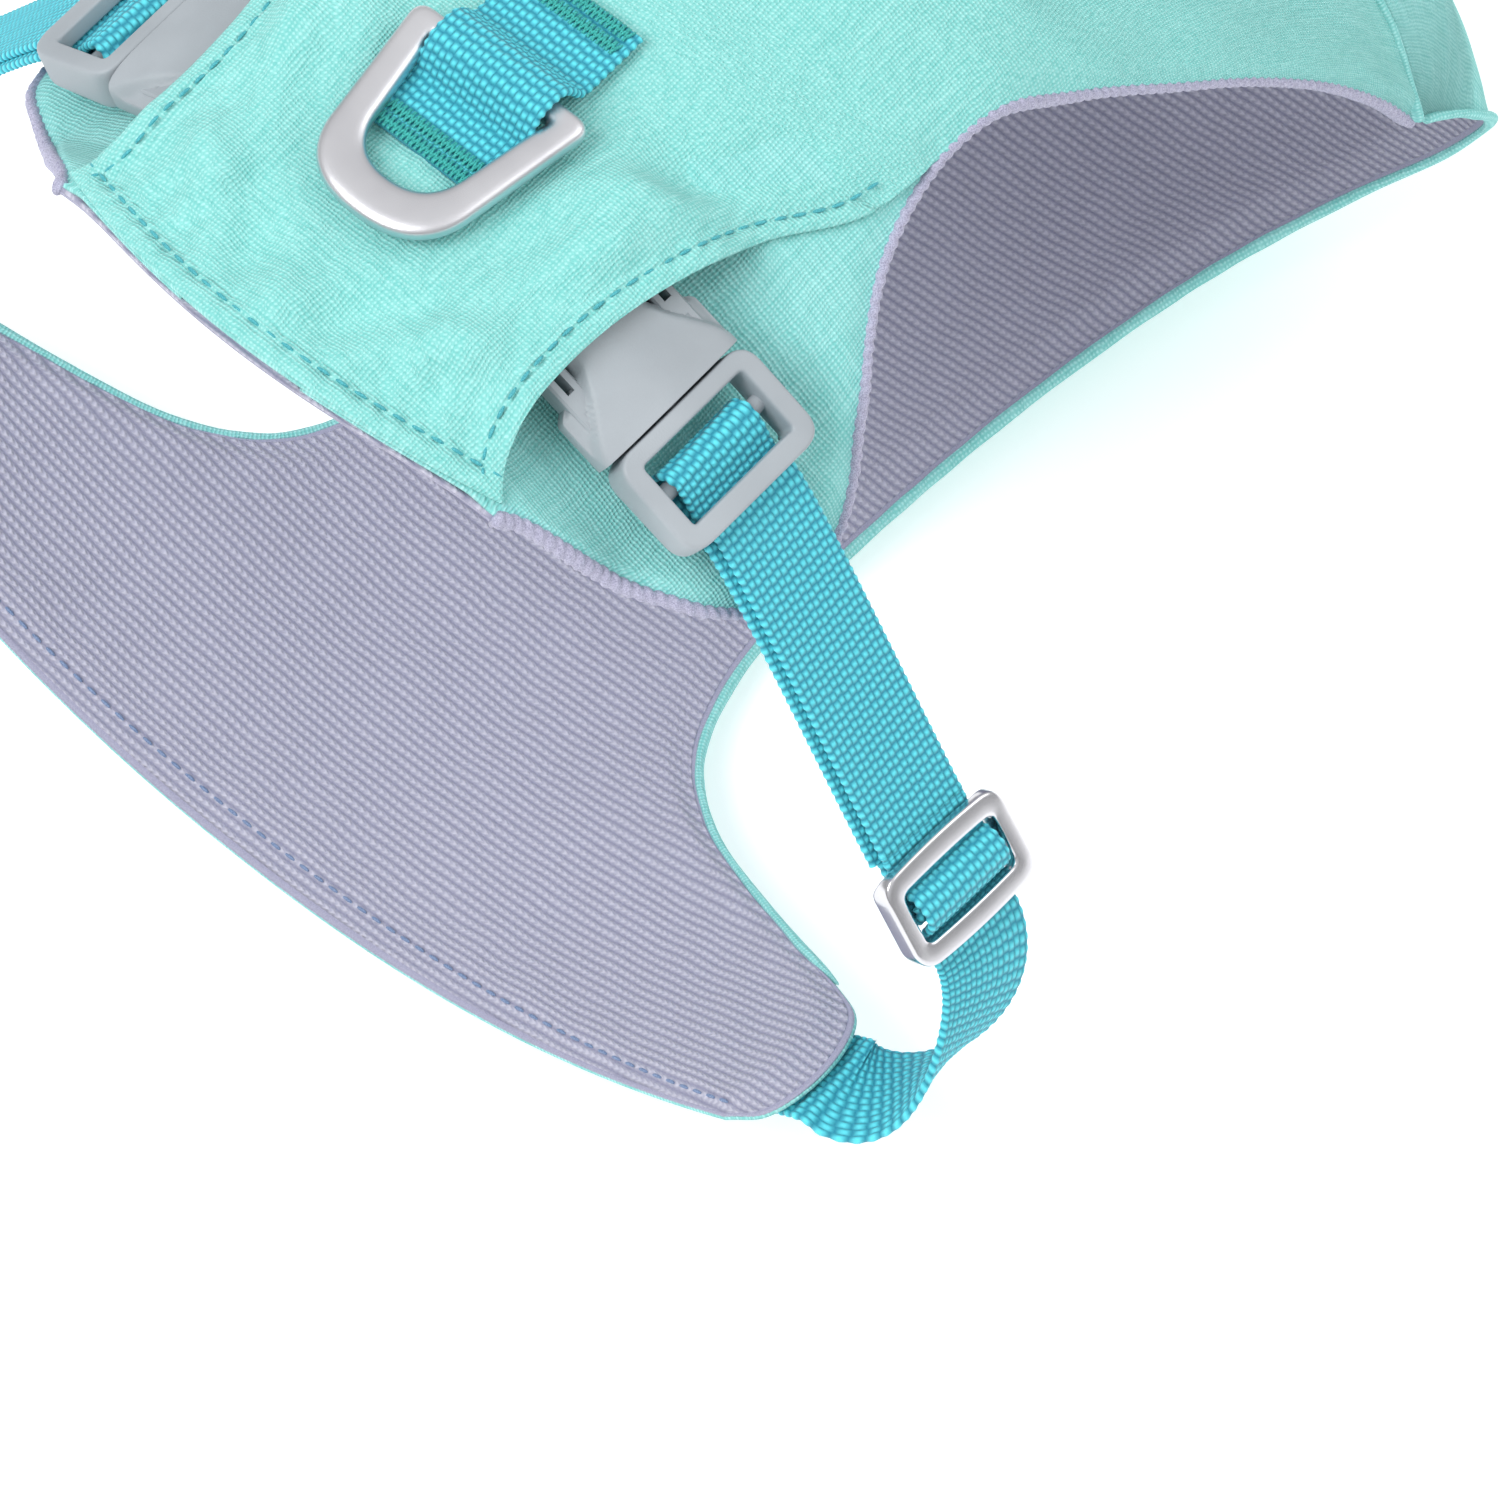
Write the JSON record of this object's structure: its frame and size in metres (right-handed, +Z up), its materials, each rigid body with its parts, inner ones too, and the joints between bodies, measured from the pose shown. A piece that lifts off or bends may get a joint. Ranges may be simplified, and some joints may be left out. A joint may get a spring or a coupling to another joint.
{
  "type": "dog harness vest",
  "caption": "Padded harness vest for a dog, with a leash ring on the back, belly wings and a side-release buckle and slide adjuster on each side strap.",
  "frame": {"origin": "where the back lining's inner face rests on the spine, 62 mm in front of the hem, near the leash ring's bar", "axes": "+X towards the dog's head, +Y to its left side, +Z up"},
  "size_m": [0.264, 0.273, 0.1802],
  "materials": {
    "canvas": "mint plain-weave canvas",
    "flap_canvas": "mint canvas, a little duller",
    "knit": "lavender ribbed knit",
    "binding": "lavender twisted binding",
    "foam": "open-cell foam",
    "webbing": "teal woven webbing",
    "thread": "teal bartack thread",
    "plastic": "fine matte texture",
    "satin_metal": "bead blasted",
    "bright_metal": "polished plate"
  },
  "bodies": {
    "vest": {"back_cover": "canvas", "flap_cover_right": "flap_canvas", "flap_cover_left": "flap_canvas", "chest_cover": "canvas", "back_padding": "foam", "chest_padding": "foam", "back_lining": "knit", "chest_lining": "knit", "back_binding_right": "binding", "back_binding_left": "binding", "chest_binding_right": "binding", "chest_binding_left": "binding", "neck_binding_back": "binding", "ring_webbing": "webbing", "ring_tack_front": "thread", "ring_tack_rear": "thread", "buckle_socket_right": "plastic", "socket_webbing_right": "webbing", "strap_right": "webbing", "buckle_socket_left": "plastic", "socket_webbing_left": "webbing", "strap_left": "webbing"},
    "leash_ring": {"leash_ring": "satin_metal"},
    "right_clip": {"clip_frame_right": "plastic"},
    "right_front_prong": {"prong_front_right": "plastic"},
    "right_rear_prong": {"prong_rear_right": "plastic"},
    "right_adjuster": {"adjuster_right": "bright_metal"},
    "left_clip": {"clip_frame_left": "plastic"},
    "left_front_prong": {"prong_front_left": "plastic"},
    "left_rear_prong": {"prong_rear_left": "plastic"},
    "left_adjuster": {"adjuster_left": "bright_metal"}
  },
  "joints": [
    {"name": "ring_swing", "type": "hinge", "parent": "vest", "child": "leash_ring", "pos_m": [0.003, 0, 0.0101], "axis": [0, 1, 0], "range_deg": [0, 150]},
    {"name": "right_clip_slide", "type": "slide", "parent": "vest", "child": "right_clip", "axis": [0, -0.8989, -0.4381], "range_m": [0, 0.026], "deforming": ["strap_right"]},
    {"name": "right_front_prong_squeeze", "type": "hinge", "parent": "right_clip", "child": "right_front_prong", "pos_m": [-0.0049, -0.05509, -0.01184], "axis": [0, -0.4381, 0.8989], "range_deg": [0, 5], "stiffness_Nm_per_rad": 0.02},
    {"name": "right_rear_prong_squeeze", "type": "hinge", "parent": "right_clip", "child": "right_rear_prong", "pos_m": [-0.0291, -0.05509, -0.01184], "axis": [0, 0.4381, -0.8989], "range_deg": [0, 5], "stiffness_Nm_per_rad": 0.02},
    {"name": "right_adjuster_slide", "type": "slide", "parent": "vest", "child": "right_adjuster", "axis": [0.0483, 0.5792, 0.8137], "range_m": [0, 0.03]},
    {"name": "left_clip_slide", "type": "slide", "parent": "vest", "child": "left_clip", "axis": [0, 0.8989, -0.4381], "range_m": [0, 0.026], "deforming": ["strap_left"]},
    {"name": "left_front_prong_squeeze", "type": "hinge", "parent": "left_clip", "child": "left_front_prong", "pos_m": [-0.0049, 0.05509, -0.01184], "axis": [0, -0.4381, -0.8989], "range_deg": [0, 5], "stiffness_Nm_per_rad": 0.02},
    {"name": "left_rear_prong_squeeze", "type": "hinge", "parent": "left_clip", "child": "left_rear_prong", "pos_m": [-0.0291, 0.05509, -0.01184], "axis": [0, 0.4381, 0.8989], "range_deg": [0, 5], "stiffness_Nm_per_rad": 0.02},
    {"name": "left_adjuster_slide", "type": "slide", "parent": "vest", "child": "left_adjuster", "axis": [0.0483, -0.5792, 0.8137], "range_m": [0, 0.03]}
  ]
}
